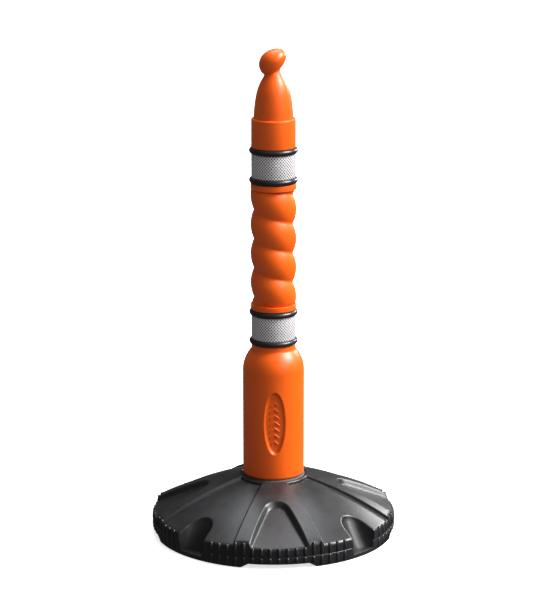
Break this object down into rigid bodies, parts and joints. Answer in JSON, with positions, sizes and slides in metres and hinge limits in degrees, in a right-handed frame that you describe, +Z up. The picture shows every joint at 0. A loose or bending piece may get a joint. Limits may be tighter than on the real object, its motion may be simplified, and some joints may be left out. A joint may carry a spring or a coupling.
{
  "type": "barrier post",
  "caption": "Free-standing barrier post: orange post in three stacked mouldings with two reflective sleeves and a slanted knob, locked by a bayonet into a low black weighted base.",
  "frame": {"origin": "on the floor, at the centre of the base and on the axis of the post", "axes": "+Z up the post; -Y is the front, with the oval recess; the four arms of the base point along X and Y"},
  "size_m": [0.498, 0.498, 0.9993],
  "materials": {
    "base_plastic": "black moulded plastic, satin",
    "ballast_plastic": "recycled plastic, rough",
    "socket_plastic": "black moulded plastic, satin",
    "screw_steel": "zinc plated",
    "rubber": "matt",
    "ring_rubber": "satin",
    "orange_plastic": "orange moulded plastic, satin gloss",
    "reflective_film": "prismatic reflective sheeting"
  },
  "bodies": {
    "base": {"base_top_shell": "base_plastic", "base_bottom_pan": "base_plastic", "base_ballast": "ballast_plastic", "base_screws": "screw_steel", "foot_pads": "rubber", "post_socket": "socket_plastic", "socket_screws": "screw_steel"},
    "seal": {"post_seal": "rubber"},
    "lower": {"lower_post": "orange_plastic", "lower_band_bottom_ring": "ring_rubber", "lower_reflective_sleeve": "reflective_film", "lower_band_top_ring": "ring_rubber", "lower_joint_o_ring": "rubber"},
    "middle": {"middle_post": "orange_plastic", "upper_band_bottom_ring": "ring_rubber", "upper_reflective_sleeve": "reflective_film", "upper_band_top_ring": "ring_rubber", "upper_joint_o_ring": "rubber"},
    "top": {"top_post": "orange_plastic"}
  },
  "joints": [
    {"name": "post_lift", "type": "slide", "parent": "base", "child": "seal", "axis": [0, 0, 1], "range_m": [0, 0.075]},
    {"name": "post_turn", "type": "hinge", "parent": "seal", "child": "lower", "pos_m": [0, 0, 0.124], "axis": [0, 0, 1], "range_deg": [-45, 0]},
    {"name": "middle_pull", "type": "slide", "parent": "lower", "child": "middle", "axis": [0, 0, 1], "range_m": [0, 0.055]},
    {"name": "top_pull", "type": "slide", "parent": "middle", "child": "top", "axis": [0, 0, 1], "range_m": [0, 0.055]}
  ]
}
